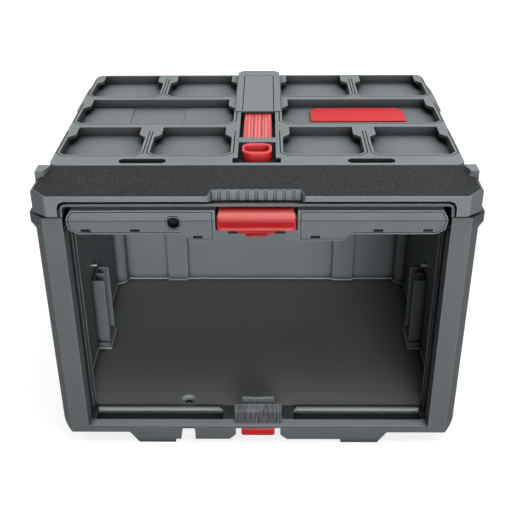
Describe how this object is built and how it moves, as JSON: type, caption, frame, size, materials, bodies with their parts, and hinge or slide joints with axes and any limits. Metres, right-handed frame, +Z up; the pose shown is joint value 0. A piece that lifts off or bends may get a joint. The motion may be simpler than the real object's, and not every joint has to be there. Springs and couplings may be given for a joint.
{
  "type": "tool storage cabinet",
  "caption": "Stacking tool cabinet with an open front, an up-and-over door stored under the roof, a sliding hook latch, roof pockets and spring releases for stacking.",
  "frame": {"origin": "under the middle of the cabinet, on the ground that its cleats stand on", "axes": "+X to the right seen from the front, along the width; -Y is the front; +Z up"},
  "size_m": [0.5, 0.368, 0.369],
  "materials": {
    "shell": "fine grain",
    "roof": "fine grain",
    "plate": "satin",
    "black": "fine grain",
    "red": "satin",
    "rubber": "matte",
    "steel": "bright"
  },
  "bodies": {
    "cabinet": {"body_shell": "shell", "roof_cap": "roof", "stacking_grid": "plate", "spine_cover": "plate", "spine_bridge": "plate", "badge_plate": "red", "latch_strike": "black", "finger_scoop": "rubber", "strike_screws": "steel", "track_left": "black", "track_right": "black", "track_screws": "steel", "shelf_post_left": "black", "shelf_post_right": "black", "post_studs": "steel", "side_seal_left": "rubber", "side_seal_right": "rubber", "base_skid": "black", "base_screws": "steel", "roof_dowels": "steel", "stack_spring": "steel", "base_spring": "steel"},
    "door_carriage": {"door_pivot_rod": "steel", "pivot_shoe_left": "black", "pivot_shoe_right": "black"},
    "door": {"door_outer_shell": "roof", "door_inner_shell": "shell", "latch_spring": "steel"},
    "latch": {"door_latch": "red"},
    "stack_release": {"stack_release": "red"},
    "base_release": {"base_release": "red"}
  },
  "joints": [
    {"name": "door_slide", "type": "slide", "parent": "cabinet", "child": "door_carriage", "axis": [0, -1, 0], "range_m": [0, 0.266]},
    {"name": "door_hinge", "type": "hinge", "parent": "door_carriage", "child": "door", "pos_m": [0, 0.101, 0.312], "axis": [1, 0, 0], "range_deg": [0, 90]},
    {"name": "latch_slide", "type": "slide", "parent": "door", "child": "latch", "axis": [0, 1, 0], "range_m": [0, 0.007], "stiffness_N_per_m": 300, "deforming": ["latch_spring"]},
    {"name": "stack_release_slide", "type": "slide", "parent": "cabinet", "child": "stack_release", "axis": [0, -1, 0], "range_m": [0, 0.006], "stiffness_N_per_m": 300, "deforming": ["stack_spring"]},
    {"name": "base_release_slide", "type": "slide", "parent": "cabinet", "child": "base_release", "axis": [0, 1, 0], "range_m": [0, 0.006], "stiffness_N_per_m": 300, "deforming": ["base_spring"]}
  ]
}
